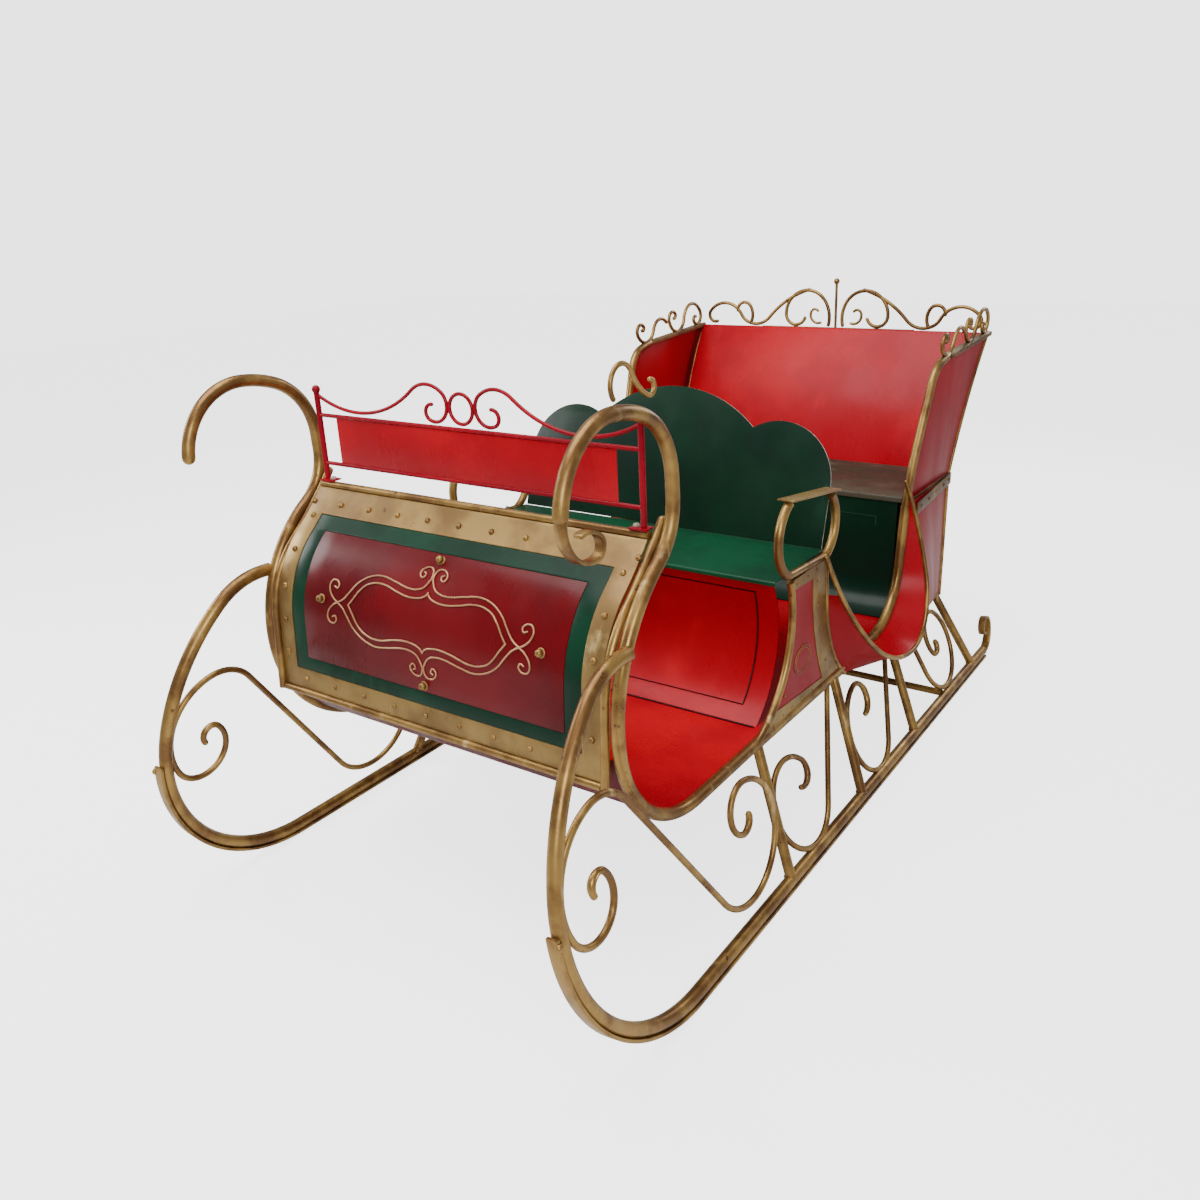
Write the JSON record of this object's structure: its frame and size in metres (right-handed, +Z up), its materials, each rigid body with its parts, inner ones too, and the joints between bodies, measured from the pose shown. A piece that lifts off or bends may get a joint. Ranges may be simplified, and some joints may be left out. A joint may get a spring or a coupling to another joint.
{
  "type": "horse drawn sleigh",
  "caption": "Open two-seat sleigh on long scrolled tube runners, with a curved dash, hooked side tubes, a lobed front backrest and a flared rear seat, all bent tube and painted sheet.",
  "frame": {"origin": "on the ground, under the middle of the bounding box", "axes": "the front faces -Y, +X is the sleigh's left side, +Z is up"},
  "size_m": [1.3518, 2.6327, 1.3968],
  "materials": {
    "gold": "antique gold paint, satin, rubbed and browned at the edges",
    "red": "bright red gloss paint",
    "dark_red": "dark red gloss paint",
    "pink_red": "faded red paint with a pink sheen",
    "dark_green": "dark green gloss paint",
    "light_green": "green gloss paint",
    "olive": "worn olive brown paint"
  },
  "bodies": {
    "root": {"runner_left": "gold", "runner_right": "gold", "runner_shoes": "gold", "side_tube_left": "gold", "side_tube_right": "gold", "dash_edge_tubes": "gold", "dash_rails": "gold", "dash_border": "gold", "dash_band": "dark_green", "dash_panel": "dark_red", "board_frame": "red", "board_panel": "red", "board_crest": "red", "floor_pan": "red", "front_seat_riser": "red", "front_seat_pan": "light_green", "front_backrest": "dark_green", "seat_box_frames": "gold", "seat_box_panels": "red", "armrest_left": "gold", "armrest_right": "gold", "arm_plates": "gold", "rear_seat_riser": "dark_green", "rear_seat_pan": "olive", "rear_back_panel": "red", "rear_lower_panel": "dark_red", "rear_side_left": "pink_red", "rear_side_right": "pink_red", "rear_edge_tube_left": "gold", "rear_edge_tube_right": "gold", "corner_posts": "gold", "waist_straps": "gold", "side_top_strips": "gold", "swell_panels": "pink_red", "swell_sheets": "red", "rear_skirts": "pink_red", "step_rims": "gold", "rear_crest": "gold", "side_crests": "gold", "stanchions_left": "gold", "stanchions_right": "gold", "scrolls_left": "gold", "scrolls_right": "gold", "cross_bar": "gold", "hook_curl": "gold", "hook_ornament": "gold"}
  },
  "joints": []
}
